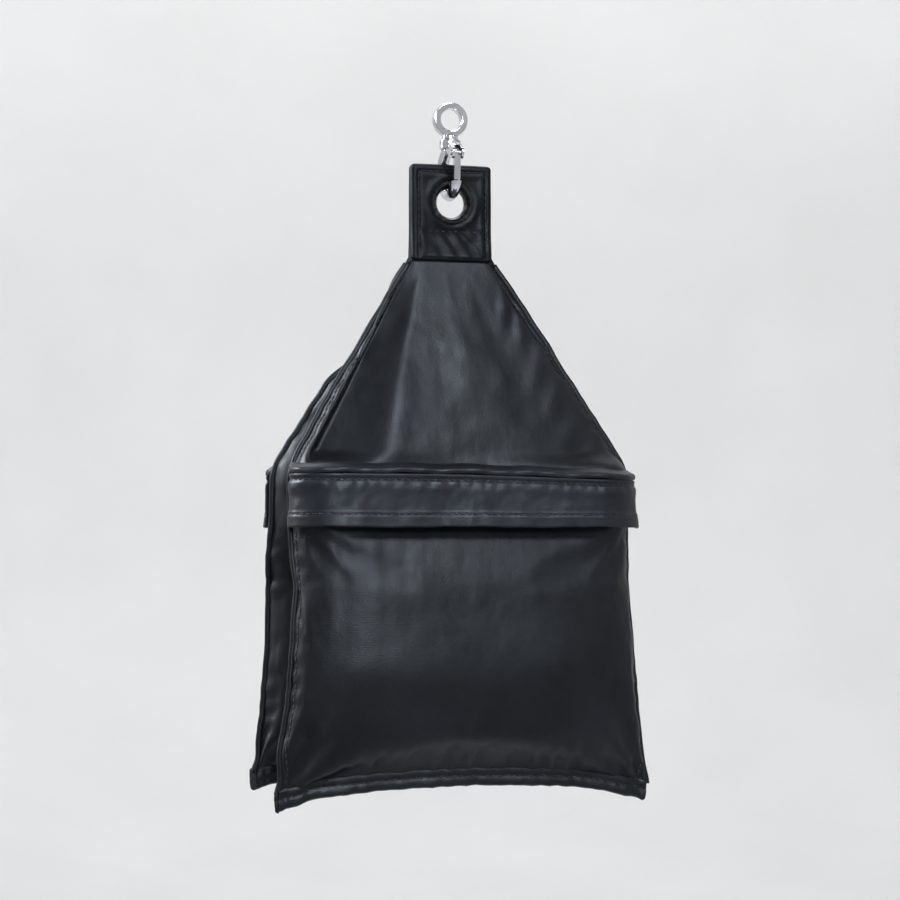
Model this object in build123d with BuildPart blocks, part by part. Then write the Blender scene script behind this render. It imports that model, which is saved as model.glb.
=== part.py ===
from build123d import *
from math import sqrt
import os

# A hanging saddle sandbag: two sand-filled pouches back to back under one neck, which a
# swivel snap hook carries by a rolled eyelet.  Millimetres, +Z up, front of the bag faces -Y.
# The origin is the centre of the swivel eye's bore, the point that the bag hangs from.

os.makedirs("parts", exist_ok=True)

# ---- driving dimensions: swivel snap hook ----
part_gap = 0.3              # play between pieces that pass each other
running_gap = 0.05          # radial play of a pin or shank in its bore
eye_bore_r = 5.5
eye_outer_r = 9.0
eye_thick = 5.0
eye_round = 0.8
shoulder_r = 4.2
shoulder_z = -10.0          # underside of the eye's shoulder
shoulder_height = 1.4
shank_r = 2.4
shank_root_z = -7.2         # top of the shank, buried in the eye
collar_r = 5.5
collar_height = 5.0
washer_r = 3.6
washer_thick = 1.5
wire_r = 3.0
bend_r = 12.0               # centreline of the hook's bend
bend_z = -27.0              # centre of the bend
nose_turn = 168             # degrees of bend, before the nose is trimmed
limb_root = (3.4, -13.6)    # y, z where the back limb leaves the collar
limb_knee_z = -20.0
gate_pivot = (-12.0, -18.5)   # y, z
gate_tip = (-11.3, -31.0)     # y, z
gate_half_width = 1.6
gate_play = 0.25            # each side of the gate, between the ears
gate_room_r = 4.4           # the fork is hollow to this radius about the pin
gate_sweep_r = 14.5         # the nose is cut back to this radius about the gate's pivot
pin_r = 0.8
ear_half_width = 3.0
pin_head = (1.36, 0.6)      # radius and thickness
spring_r = 1.45
spring_span = (0.6, 1.5)    # the spring's place along the pin

# ---- driving dimensions: neck ----
neck_width = 43.0
neck_thick = 8.0
neck_top_z = -23.5
neck_base_z = -73.0
ply = 1.6                   # coated fabric, folded and sewn
eyelet_r = 7.5
eyelet_clear = 0.4          # the eyelet's rim clears the top of the hook wire by this
eyelet_flare_r = 7.5
eyelet_barrel_r = 9.9
eyelet_flange_r = 11.2
eyelet_flange_thick = 1.1
eyelet_edge = 0.5           # bevel round the flange

# ---- driving dimensions: one half of the bag ----
half_top_z = neck_base_z - part_gap
header_z = -183.0           # underside of the header that the flap hangs from
header_height = 3.2
flap_bottom_z = -209.0
seam_z = -334.0             # bottom seam of the pouch
half_gap = 0.4              # each half's back stands this far from the middle plane
face_depth = 38.0           # flat front face that carries the zip and the flap
# height, half width, front face and back face (both measured forwards from the middle plane)
sections = [
    (half_top_z, neck_width / 2, neck_thick / 2 + 0.2, half_gap),
    (header_z + header_height, 89.5, face_depth, half_gap),
    (flap_bottom_z, 88.5, face_depth, half_gap),
    (-234.0, 89.5, 46.0, half_gap + 0.4),
    (-262.0, 91.5, 52.0, half_gap + 0.8),
    (-290.0, 94.5, 53.5, half_gap + 2.0),
    (-314.0, 96.5, 47.5, 8.0),
    (seam_z, 97.5, 31.0, 24.0),
]
corner_share = 0.46         # corner radius as a share of a section's depth
hem_thick = 3.0
hem_mid_z = -340.0
hem_corner_z = -348.5
liner_thick = 0.8
sand_top_z = -214.0
sand_bottom_z = -327.0

# ---- driving dimensions: closure ----
zip_z = -194.6
zip_half_length = 71.5
coil_half_height = 1.6
coil_depth = (37.0, 39.0)
coil_inset = 3.0            # the coil ends this far inside the tapes
stop_inset = 1.4
stop_width = 2.4
tape_height = 7.0
tape_thick = 1.0
slider_length = 11.0
slider_half_height = 3.6
slider_rest_x = -64.0
saddle_depth = (39.3, 40.5)
stud_r = 1.0
stud_head = (1.8, 0.5)      # radius and thickness
flange_inset = 1.6          # the slider's side flanges end this far inside it
pull_depth = (40.8, 41.6)
pull_length = 12.5
pull_width = 6.0
pull_head = 2.2             # half width at the stud, and height above it
stud_play = 0.2             # between the pull and the stud's head
flap_width = 181.0
flap_depth = (42.8, 44.4)
wide = 250                  # larger than the bag, for cutting shapes


def save(piece, name):
    piece.label = name
    export_step(piece, f"parts/{name}.step")


# ==== swivel snap hook ====

collar_top_z = shoulder_z - part_gap
collar_bottom_z = collar_top_z - collar_height
washer_top_z = collar_bottom_z - part_gap
washer_bottom_z = washer_top_z - washer_thick
eyelet_z = bend_z - bend_r + wire_r + eyelet_clear - eyelet_r

with BuildPart() as swivel_eye:
    with BuildSketch(Plane.XZ):
        Circle(eye_outer_r)
        Circle(eye_bore_r, mode=Mode.SUBTRACT)
    extrude(amount=eye_thick / 2, both=True)
    fillet(swivel_eye.edges().filter_by(GeomType.CIRCLE), eye_round)
    with BuildSketch(Plane.XZ):
        with BuildLine():
            Polyline(
                (0, washer_bottom_z), (shank_r, washer_bottom_z), (shank_r, shoulder_z),
                (shoulder_r, shoulder_z), (shoulder_r, shoulder_z + shoulder_height),
                (shank_r, shank_root_z), (0, shank_root_z), close=True,
            )
        make_face()
    revolve(axis=Axis.Z)

with BuildPart() as swivel_washer:
    with BuildSketch(Plane.XY.offset(washer_bottom_z)):
        Circle(washer_r)
        Circle(shank_r, mode=Mode.SUBTRACT)
    extrude(amount=washer_thick)
    underside = swivel_washer.faces().sort_by(Axis.Z)[0]
    fillet(underside.edges().sort_by(SortBy.LENGTH)[-1], washer_thick * 0.6)

with BuildPart() as hook_body:
    with BuildSketch(Plane.XY.offset(collar_bottom_z)):
        Circle(collar_r)
    extrude(amount=collar_height)
    fillet(hook_body.edges().filter_by(GeomType.CIRCLE), 0.8)
    with BuildLine(Plane.YZ) as wire:
        shoulder = FilletPolyline(limb_root, (bend_r, limb_knee_z), (bend_r, bend_z), radius=5)
        CenterArc((0, bend_z), bend_r, 0, -nose_turn)
    with BuildSketch(Plane(origin=shoulder @ 0, z_dir=shoulder % 0)):
        Circle(wire_r)
    sweep(path=wire.wires()[0])
    # front shoulder, which ends in the fork that holds the gate
    with BuildSketch(Plane.YZ):
        middle = ((gate_pivot[0] - limb_root[0]) / 2, (gate_pivot[1] + limb_root[1]) / 2)
        SlotCenterPoint(middle, gate_pivot, 2 * wire_r)
    extrude(amount=ear_half_width, both=True)
    # room for the gate between the ears, for its sweep past the nose, and its pin's hole
    with BuildSketch(Plane.YZ):
        with Locations(gate_pivot):
            Circle(gate_room_r)
    extrude(amount=gate_half_width + gate_play, both=True, mode=Mode.SUBTRACT)
    with BuildSketch(Plane.YZ):
        with Locations(gate_pivot):
            Circle(gate_sweep_r)
        with Locations((gate_pivot[0], gate_tip[1])):
            Rectangle(16, 9, mode=Mode.INTERSECT)
    extrude(amount=2 * wire_r, both=True, mode=Mode.SUBTRACT)
    with BuildSketch(Plane.YZ):
        with Locations(gate_pivot):
            Circle(pin_r)
    extrude(amount=2 * wire_r, both=True, mode=Mode.SUBTRACT)
    # the shank's bore through the collar, and the pocket for the washer under it
    with BuildSketch(Plane.XY.offset(collar_top_z + 1)):
        Circle(shank_r + running_gap)
    extrude(amount=-(collar_height + 2), mode=Mode.SUBTRACT)
    with BuildSketch(Plane.XY.offset(collar_bottom_z)):
        Circle(washer_r + 2 * part_gap)
    extrude(amount=-(washer_thick + 3 * part_gap), mode=Mode.SUBTRACT)

with BuildPart() as gate:
    with BuildSketch(Plane.YZ):
        bar_middle = [(a + b) / 2 for a, b in zip(gate_pivot, gate_tip)]
        SlotCenterPoint(bar_middle, gate_tip, 2 * gate_half_width)
        with Locations(gate_pivot):
            Circle(pin_r + running_gap, mode=Mode.SUBTRACT)
    extrude(amount=gate_half_width, both=True)
    # the hub is narrowed on one side, where the spring sits
    with BuildSketch(Plane.YZ.offset(spring_span[0] - part_gap)):
        with Locations(gate_pivot):
            Circle(spring_r + 2 * part_gap)
    extrude(amount=2 * gate_half_width, mode=Mode.SUBTRACT)

with BuildPart() as gate_pin:
    with BuildSketch(Plane.YZ):
        with Locations(gate_pivot):
            Circle(pin_r)
    extrude(amount=ear_half_width, both=True)
    for side in (-1, 1):
        with BuildSketch(Plane.YZ.offset(side * ear_half_width)):
            with Locations(gate_pivot):
                Circle(pin_head[0])
        extrude(amount=side * pin_head[1])

with BuildPart() as gate_spring:
    with BuildSketch(Plane.YZ.offset(spring_span[0])):
        with Locations(gate_pivot):
            Circle(spring_r)
            Circle(pin_r + 2 * running_gap, mode=Mode.SUBTRACT)
    extrude(amount=spring_span[1] - spring_span[0])

# ==== neck ====

with BuildPart() as neck_core:
    with BuildSketch(Plane.XY.offset(neck_base_z)):
        Rectangle(neck_width - 4 * ply, neck_thick - 2 * ply)
    extrude(amount=neck_top_z - ply - neck_base_z)
    with BuildSketch(Plane.XZ):
        with Locations((0, eyelet_z)):
            Circle(eyelet_barrel_r)
    extrude(amount=neck_thick, both=True, mode=Mode.SUBTRACT)

with BuildPart() as neck_cover:
    with BuildSketch(Plane.XY.offset(neck_base_z)):
        Rectangle(neck_width, neck_thick)
    extrude(amount=neck_top_z - neck_base_z)
    fold = neck_cover.edges().filter_by(Axis.X).group_by(Axis.Z)[-1]
    fillet(fold, neck_thick * 0.3)
    with BuildSketch(Plane.XY.offset(neck_base_z)):
        Rectangle(neck_width - 4 * ply, neck_thick - 2 * ply)
    extrude(amount=neck_top_z - ply - neck_base_z, mode=Mode.SUBTRACT)
    with BuildSketch(Plane.XZ):
        with Locations((0, eyelet_z)):
            Circle(eyelet_barrel_r)
    extrude(amount=neck_thick, both=True, mode=Mode.SUBTRACT)


def flare(y):
    """Inner radius of the rolled eyelet at a distance y from its middle."""
    return eyelet_r + eyelet_flare_r - sqrt(eyelet_flare_r**2 - y**2)


eyelet_front_y = -(neck_thick / 2 + eyelet_flange_thick)
eyelet_back_y = neck_thick / 2 + eyelet_flange_thick
eyelet_axis = Axis((0, 0, eyelet_z), (0, 1, 0))

with BuildPart() as eyelet:
    with BuildSketch(Plane.XY.offset(eyelet_z)):
        with BuildLine():
            ThreePointArc(
                (flare(eyelet_front_y), eyelet_front_y), (eyelet_r, 0),
                (flare(eyelet_back_y), eyelet_back_y),
            )
            Polyline(
                (flare(eyelet_back_y), eyelet_back_y), (eyelet_barrel_r, eyelet_back_y),
                (eyelet_barrel_r, -neck_thick / 2), (eyelet_flange_r, -neck_thick / 2),
                (eyelet_flange_r, eyelet_front_y + eyelet_edge),
                (eyelet_flange_r - eyelet_edge, eyelet_front_y),
                (flare(eyelet_front_y), eyelet_front_y),
            )
        make_face()
    revolve(axis=eyelet_axis)

with BuildPart() as eyelet_washer:
    with BuildSketch(Plane.XZ.offset(-neck_thick / 2)):
        with Locations((0, eyelet_z)):
            Circle(eyelet_flange_r)
            Circle(eyelet_barrel_r, mode=Mode.SUBTRACT)
    extrude(amount=-eyelet_flange_thick)

# ==== one half of the bag, built as the front half ====


def level(z):
    """Half width, front depth and back depth of a half, between its listed sections."""
    for high, low in zip(sections, sections[1:]):
        if high[0] >= z >= low[0]:
            share = (high[0] - z) / (high[0] - low[0])
            return [a + (b - a) * share for a, b in zip(high[1:], low[1:])]


def pillow_loft(heights, inset=0.0, straight=False, mode=Mode.ADD):
    """Solid through the rounded sections at these heights, moved in by inset all round."""
    outlines = []
    for z in heights:
        half_width, front, back = level(z)
        depth = front - back - 2 * inset
        with BuildSketch(Plane.XY.offset(z)) as outline:
            with Locations((0, -(front + back) / 2)):
                RectangleRounded(2 * (half_width - inset), depth, depth * corner_share)
        outlines.append(outline.sketch.face())
    loft(outlines, ruled=straight, mode=mode)


def cut_to(top_z, bottom_z):
    """Keep only what lies between two heights."""
    with BuildSketch(Plane.XY.offset(bottom_z)) as slab:
        Rectangle(2 * wide, 2 * wide)
    extrude(slab.sketch, amount=top_z - bottom_z, mode=Mode.INTERSECT)


def keep(top_z, bottom_z, in_front):
    """Keep only what lies between two heights and before (or behind) the mid-depth seam."""
    seam_line = [(-(front + back) / 2, z) for z, _, front, back in sections]
    far = -wide if in_front else wide
    with BuildSketch(Plane.YZ) as one_side:
        Polygon(*seam_line, (far, seam_z), (far, half_top_z), align=None)
    extrude(one_side.sketch, amount=wide, both=True, mode=Mode.INTERSECT)
    cut_to(top_z, bottom_z)


heights = [section[0] for section in sections]
tent = heights[:2]
closure = heights[1:3]
pouch = heights[2:]


def skin():
    """The half's whole outer skin, one ply thick, open at the neck and the bottom seam."""
    for inset, mode in ((0, Mode.ADD), (ply, Mode.SUBTRACT)):
        pillow_loft(tent, inset, straight=True, mode=mode)
        pillow_loft(closure, inset, straight=True, mode=mode)
        pillow_loft(pouch, inset, mode=mode)


def face_strip(depths, half_length, top_z, bottom_z, mode=Mode.ADD):
    """Flat strip along the front face, between two distances before the middle plane."""
    with BuildSketch(Plane.XZ.offset(depths[0])) as strip:
        with Locations((0, (top_z + bottom_z) / 2)):
            Rectangle(2 * half_length, top_z - bottom_z)
    extrude(strip.sketch, amount=depths[1] - depths[0], mode=mode)


coil_top_z = zip_z + coil_half_height
coil_bottom_z = zip_z - coil_half_height
tape_depth = (face_depth - ply - tape_thick, face_depth - ply)
slot_depth = (face_depth - 2 * ply, face_depth + ply)

half = {}       # name of the piece to its part, for the front half

with BuildPart() as half["top_panel"]:
    skin()
    keep(half_top_z, zip_z, True)
    face_strip(slot_depth, zip_half_length + 1, coil_top_z + part_gap, zip_z, Mode.SUBTRACT)

with BuildPart() as half["pouch_panel"]:
    skin()
    keep(zip_z, seam_z, True)
    face_strip(slot_depth, zip_half_length + 1, zip_z, coil_bottom_z - part_gap, Mode.SUBTRACT)

with BuildPart() as half["back_panel"]:
    skin()
    keep(half_top_z, seam_z, False)

with BuildPart() as half["bottom_hem"]:
    hem_half_width = sections[-1][1]
    hem_depth = (sections[-1][2] + sections[-1][3] - hem_thick) / 2
    with BuildSketch(Plane.XZ.offset(hem_depth)):
        with BuildLine():
            Polyline(
                (-hem_half_width, hem_corner_z), (-hem_half_width, seam_z),
                (hem_half_width, seam_z), (hem_half_width, hem_corner_z),
            )
            ThreePointArc(
                (hem_half_width, hem_corner_z), (0, hem_mid_z), (-hem_half_width, hem_corner_z)
            )
        make_face()
    extrude(amount=hem_thick)

with BuildPart() as liner_hollow:
    pillow_loft(pouch, inset=ply + part_gap + liner_thick)
    cut_to(sand_top_z - liner_thick, sand_bottom_z + liner_thick)

with BuildPart() as half["sand_liner"]:
    pillow_loft(pouch, inset=ply + part_gap)
    cut_to(sand_top_z, sand_bottom_z)
    add(liner_hollow.part, mode=Mode.SUBTRACT)

with BuildPart() as half["sand_fill"]:
    pillow_loft(pouch, inset=ply + liner_thick + 2 * part_gap)
    cut_to(sand_top_z - liner_thick - part_gap, sand_bottom_z + liner_thick + part_gap)

# ---- closure: a coil zip under a flap ----

with BuildPart() as half["zip_tape_upper"]:
    face_strip(tape_depth, zip_half_length, coil_top_z + tape_height, coil_top_z)

with BuildPart() as half["zip_tape_lower"]:
    face_strip(tape_depth, zip_half_length, coil_bottom_z, coil_bottom_z - tape_height)

with BuildPart() as half["zip_coil"]:
    face_strip(coil_depth, zip_half_length - coil_inset, coil_top_z, coil_bottom_z)
    fillet(half["zip_coil"].edges().filter_by(Axis.X), 0.9)

with BuildPart() as half["zip_stops"]:
    with BuildSketch(Plane.XZ.offset(coil_depth[0])):
        with Locations((stop_inset - zip_half_length, zip_z), (zip_half_length - stop_inset, zip_z)):
            RectangleRounded(stop_width, 2 * coil_half_height + 0.4, 0.5)
    extrude(amount=coil_depth[1] - coil_depth[0])

with BuildPart() as half["zip_slider"]:
    flange_height = slider_half_height - coil_half_height - part_gap
    with BuildSketch(Plane.XZ.offset(saddle_depth[0])):
        with Locations((slider_rest_x, zip_z)):
            RectangleRounded(slider_length, 2 * slider_half_height, 1.6)
    extrude(amount=saddle_depth[1] - saddle_depth[0])
    with BuildSketch(Plane.XZ.offset(face_depth + part_gap)):
        for side in (-1, 1):
            with Locations((slider_rest_x, zip_z + side * (slider_half_height - flange_height / 2))):
                Rectangle(slider_length - 2 * flange_inset, flange_height)
    extrude(amount=saddle_depth[0] - face_depth - part_gap)
    # the stud that the pull hangs from, with its head
    with BuildSketch(Plane.XZ.offset(saddle_depth[1])):
        with Locations((slider_rest_x, zip_z)):
            Circle(stud_r)
    extrude(amount=pull_depth[1] + stud_play - saddle_depth[1])
    with BuildSketch(Plane.XZ.offset(pull_depth[1] + stud_play)):
        with Locations((slider_rest_x, zip_z)):
            Circle(stud_head[0])
    extrude(amount=stud_head[1])

with BuildPart() as half["zip_pull"]:
    with BuildSketch(Plane.XZ.offset(pull_depth[0])):
        with BuildLine():
            Polyline(
                (-pull_head, pull_head), (pull_head, pull_head), (pull_width / 2, -pull_length),
                (-pull_width / 2, -pull_length), close=True,
            )
        make_face()
    extrude(amount=pull_depth[1] - pull_depth[0])
    fillet(half["zip_pull"].edges().filter_by(Axis.Y), 1.2)
    with BuildSketch(Plane.XZ.offset(pull_depth[0])):
        Circle(stud_r + running_gap)
        with Locations((0, -pull_length * 0.72)):
            SlotOverall(3.2, 1.6)
    extrude(amount=pull_depth[1] - pull_depth[0], mode=Mode.SUBTRACT)

with BuildPart() as half["flap_header"]:
    face_strip((face_depth, flap_depth[1]), flap_width / 2, header_z + header_height, header_z)
    outer = half["flap_header"].edges().filter_by(Axis.X).sort_by(Axis.Y)[:2]
    fillet(outer, 1.2)

with BuildPart() as half["flap"]:
    face_strip(flap_depth, flap_width / 2, header_z - part_gap, flap_bottom_z)
    fillet(half["flap"].edges().filter_by(Axis.Y).group_by(Axis.Z)[0], 2.5)

# ==== write every piece ====

for name, piece in {
    "swivel_eye": swivel_eye, "swivel_washer": swivel_washer, "hook_body": hook_body,
    "gate": gate, "gate_pin": gate_pin, "gate_spring": gate_spring,
    "neck_cover": neck_cover, "neck_core": neck_core,
    "eyelet": eyelet, "eyelet_washer": eyelet_washer,
}.items():
    save(piece.part, name)

for name, piece in half.items():
    shape = piece.part
    if name == "zip_pull":
        shape = shape.moved(Location((slider_rest_x, 0, zip_z)))
    save(shape, f"front_{name}")
    save(shape.rotate(Axis.Z, 180), f"rear_{name}")
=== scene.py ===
import math

import bpy
import numpy as np
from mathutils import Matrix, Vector, noise


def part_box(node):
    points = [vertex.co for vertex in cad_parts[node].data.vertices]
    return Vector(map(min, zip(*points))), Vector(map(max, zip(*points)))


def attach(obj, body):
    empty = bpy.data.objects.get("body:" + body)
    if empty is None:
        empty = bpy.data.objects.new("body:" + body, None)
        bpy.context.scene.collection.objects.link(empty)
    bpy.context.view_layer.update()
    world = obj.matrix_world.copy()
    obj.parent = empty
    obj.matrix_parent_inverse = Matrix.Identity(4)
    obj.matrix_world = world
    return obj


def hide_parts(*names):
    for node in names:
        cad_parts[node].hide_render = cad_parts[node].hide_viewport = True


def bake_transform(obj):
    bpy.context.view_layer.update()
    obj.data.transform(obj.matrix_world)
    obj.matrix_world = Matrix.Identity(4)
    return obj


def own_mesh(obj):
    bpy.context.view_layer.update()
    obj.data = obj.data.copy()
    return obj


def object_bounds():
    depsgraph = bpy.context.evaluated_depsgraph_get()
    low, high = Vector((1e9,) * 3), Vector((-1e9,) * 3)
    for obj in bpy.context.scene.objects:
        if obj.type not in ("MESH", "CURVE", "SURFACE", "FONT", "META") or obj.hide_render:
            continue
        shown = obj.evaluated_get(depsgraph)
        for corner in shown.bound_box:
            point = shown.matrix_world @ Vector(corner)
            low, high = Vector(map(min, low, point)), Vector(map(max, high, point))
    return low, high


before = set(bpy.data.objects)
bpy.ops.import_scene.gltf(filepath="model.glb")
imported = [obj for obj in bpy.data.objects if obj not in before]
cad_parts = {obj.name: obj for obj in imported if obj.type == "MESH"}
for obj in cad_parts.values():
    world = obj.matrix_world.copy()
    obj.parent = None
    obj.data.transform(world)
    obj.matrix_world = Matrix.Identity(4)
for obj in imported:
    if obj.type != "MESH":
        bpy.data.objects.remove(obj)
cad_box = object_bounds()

# A hanging saddle sandbag in satin black coated fabric.  Each half is a sewn bag: its outline is
# laid out as a ring of columns by rows of height, swollen by cloth simulation, then cut along its
# seams into top, pouch and back panels with their own thickness, seams and stitches.

MM = 0.001
SIDES = (("front", 1), ("rear", -1))     # the rear half is the front one turned half round Z

# -------------------- places, from the frame
neck_low, neck_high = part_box("neck_cover")
eyelet_low, eyelet_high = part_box("eyelet")
half_low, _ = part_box("front_back_panel")
flap_low, flap_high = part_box("front_flap")
header_low, header_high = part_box("front_flap_header")
coil_low, coil_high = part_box("front_zip_coil")
tape_low, tape_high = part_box("front_zip_tape_upper")

NECK_BASE = neck_low.z
EYELET = (eyelet_low + eyelet_high) / 2
HEADER_TOP = header_high.z
FLAP_TOP = flap_high.z
FLAP_BOTTOM = flap_low.z
SEAM_Z = half_low.z
FACE_DEPTH = -header_high.y              # the flat face that carries the closure
ZIP_Z = (coil_low.z + coil_high.z) / 2
ZIP_HALF = tape_high.x

# -------------------- fabric sizes
CLOTH = 1.3 * MM                         # thickness of the coated fabric
COLUMNS = 60                             # across one face, from side seam to side seam
ROW_STEP = 3.4 * MM
REFINE = 2                               # points between simulated points, each way


def smooth_step(x, low, high):
    t = np.clip((np.asarray(x, float) - low) / (high - low), 0, 1)
    return t * t * (3 - 2 * t)


def bump(x, centre, width):
    return np.exp(-(((np.asarray(x, float) - centre) / width) ** 2))


def unit(vectors):
    return vectors / np.maximum(np.linalg.norm(vectors, axis=-1, keepdims=True), 1e-12)


def distances(points):
    """Distance of each point along a line from its first one."""
    return np.concatenate([[0], np.cumsum(np.linalg.norm(np.diff(points, axis=0), axis=1))])


def softened(grid):
    """The grid with each point drawn half way to its neighbours in its row."""
    return (np.roll(grid, 1, 1) + grid * 2 + np.roll(grid, -1, 1)) / 4


# -------------------- mesh helpers

def make_object(name, points, faces):
    mesh = bpy.data.meshes.new(name)
    mesh.from_pydata([tuple(p) for p in np.asarray(points).reshape(-1, 3)], [], faces)
    mesh.validate()
    mesh.polygons.foreach_set("use_smooth", [True] * len(mesh.polygons))
    obj = bpy.data.objects.new(name, mesh)
    bpy.context.scene.collection.objects.link(obj)
    return obj


def normals_of(grid, closed=False):
    """Outward normals of a grid whose rows run down and whose columns run to the right."""
    if closed:
        across = np.roll(grid, -1, 1) - np.roll(grid, 1, 1)
    else:
        across = np.gradient(grid, axis=1)
    down = np.gradient(grid, axis=0)
    return unit(np.cross(down, across))


def quads(rows, cols, start=0, flip=False, closed=False):
    faces = []
    for r in range(rows - 1):
        for c in range(cols if closed else cols - 1):
            d = (c + 1) % cols
            a, b = start + r * cols + c, start + (r + 1) * cols + c
            e, f = start + (r + 1) * cols + d, start + r * cols + d
            faces.append((f, e, b, a) if flip else (a, b, e, f))
    return faces


def prism(rings, sides, base=0):
    """Faces of a closed rod of this many rings; base is the number of its first point."""
    faces = []
    for i in range(rings - 1):
        for s in range(sides):
            t = (s + 1) % sides
            faces.append((base + i * sides + s, base + i * sides + t,
                          base + (i + 1) * sides + t, base + (i + 1) * sides + s))
    faces.append(tuple(base + s for s in reversed(range(sides))))
    faces.append(tuple(base + (rings - 1) * sides + s for s in range(sides)))
    return faces


def shell(name, grid, thickness):
    """A closed piece of cloth: the grid is its outer face, the inner one lies behind it, and the
    rim between them is rounded."""
    rows, cols = grid.shape[:2]
    inner = grid - normals_of(grid) * thickness
    size = rows * cols
    faces = quads(rows, cols) + quads(rows, cols, size, flip=True)
    rim = [(0, c, 1, c) for c in range(cols)]
    rim += [(r, cols - 1, r, cols - 2) for r in range(1, rows)]
    rim += [(rows - 1, c, rows - 2, c) for c in range(cols - 2, -1, -1)]
    rim += [(r, 0, r, 1) for r in range(rows - 2, 0, -1)]
    edge = []
    for r, c, r_in, c_in in rim:
        out = grid[r, c] - grid[r_in, c_in]
        out = out / max(np.linalg.norm(out), 1e-9)
        edge.append((grid[r, c] + inner[r, c]) / 2 + out * thickness * 0.4)
    ring = [r * cols + c for r, c, _, _ in rim]
    count = len(ring)
    for i in range(count):
        j = (i + 1) % count
        a, b, m, n = ring[i], ring[j], 2 * size + i, 2 * size + j
        faces += [(a, b, n, m), (m, n, b + size, a + size)]
    points = np.concatenate([grid.reshape(-1, 3), inner.reshape(-1, 3), np.array(edge)])
    return make_object(name, points, faces)


def turned(points, sign):
    """The front half's points, or the same turned half round Z for the rear half."""
    return np.asarray(points) * np.array([sign, sign, 1.0])


def field(points, scale, seed, octaves=2):
    """Smooth noise from -1 to 1 at each point of a grid."""
    flat = np.asarray(points).reshape(-1, 3)
    shift = Vector((seed * 7.31, seed * 3.17, seed * 5.73))
    found = [noise.fractal(Vector(p) / scale + shift, 1.0, 2.0, octaves) for p in flat]
    return np.array(found).reshape(np.asarray(points).shape[:-1])


def resample(grid, times, closed):
    """The grid with this many points for each one, through the same points, smoothly."""
    def along(g, wrap):
        n = len(g)
        out = []
        for i in range(n if wrap else n - 1):
            if wrap:
                p0, p1, p2, p3 = g[i - 1], g[i], g[(i + 1) % n], g[(i + 2) % n]
            else:
                p0, p1, p2, p3 = g[max(i - 1, 0)], g[i], g[i + 1], g[min(i + 2, n - 1)]
            for k in range(times):
                t = k / times
                out.append(0.5 * (2 * p1 + (p2 - p0) * t + (2 * p0 - 5 * p1 + 4 * p2 - p3) * t**2
                                  + (3 * p1 - p0 - 3 * p2 + p3) * t**3))
        if not wrap:
            out.append(g[-1])
        return np.array(out)
    grid = along(grid, False)
    return along(grid.transpose(1, 0, 2), closed).transpose(1, 0, 2)


# -------------------- materials

def new_material(name):
    material = bpy.data.materials.new(name)
    material.use_nodes = True
    nodes, links = material.node_tree.nodes, material.node_tree.links
    where = nodes.new("ShaderNodeTexCoord").outputs["Object"]
    return material, nodes, links, nodes["Principled BSDF"], where


def add_noise(nodes, links, where, scale, detail=4.0, stretch=None):
    texture = nodes.new("ShaderNodeTexNoise")
    texture.inputs["Scale"].default_value = scale
    texture.inputs["Detail"].default_value = detail
    if stretch:
        mapping = nodes.new("ShaderNodeMapping")
        mapping.inputs["Scale"].default_value = stretch
        links.new(where, mapping.inputs["Vector"])
        where = mapping.outputs["Vector"]
    links.new(where, texture.inputs["Vector"])
    return texture.outputs["Fac"]


def add_ramp(nodes, links, value, stops):
    ramp = nodes.new("ShaderNodeValToRGB")
    elements = ramp.color_ramp.elements
    elements[0].position, elements[-1].position = stops[0][0], stops[-1][0]
    elements[0].color, elements[-1].color = stops[0][1], stops[-1][1]
    for place, colour in stops[1:-1]:
        elements.new(place).color = colour
    links.new(value, ramp.inputs["Fac"])
    return ramp.outputs["Color"]


def add_bump(nodes, links, height, strength, distance, normal=None):
    node = nodes.new("ShaderNodeBump")
    node.inputs["Strength"].default_value = strength
    node.inputs["Distance"].default_value = distance
    links.new(height, node.inputs["Height"])
    if normal:
        links.new(normal, node.inputs["Normal"])
    return node.outputs["Normal"]


def grey(v, tint=(1.0, 1.0, 1.0)):
    return (v * tint[0], v * tint[1], v * tint[2], 1.0)


BLUE_BLACK = (0.84, 0.95, 1.25)


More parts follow.
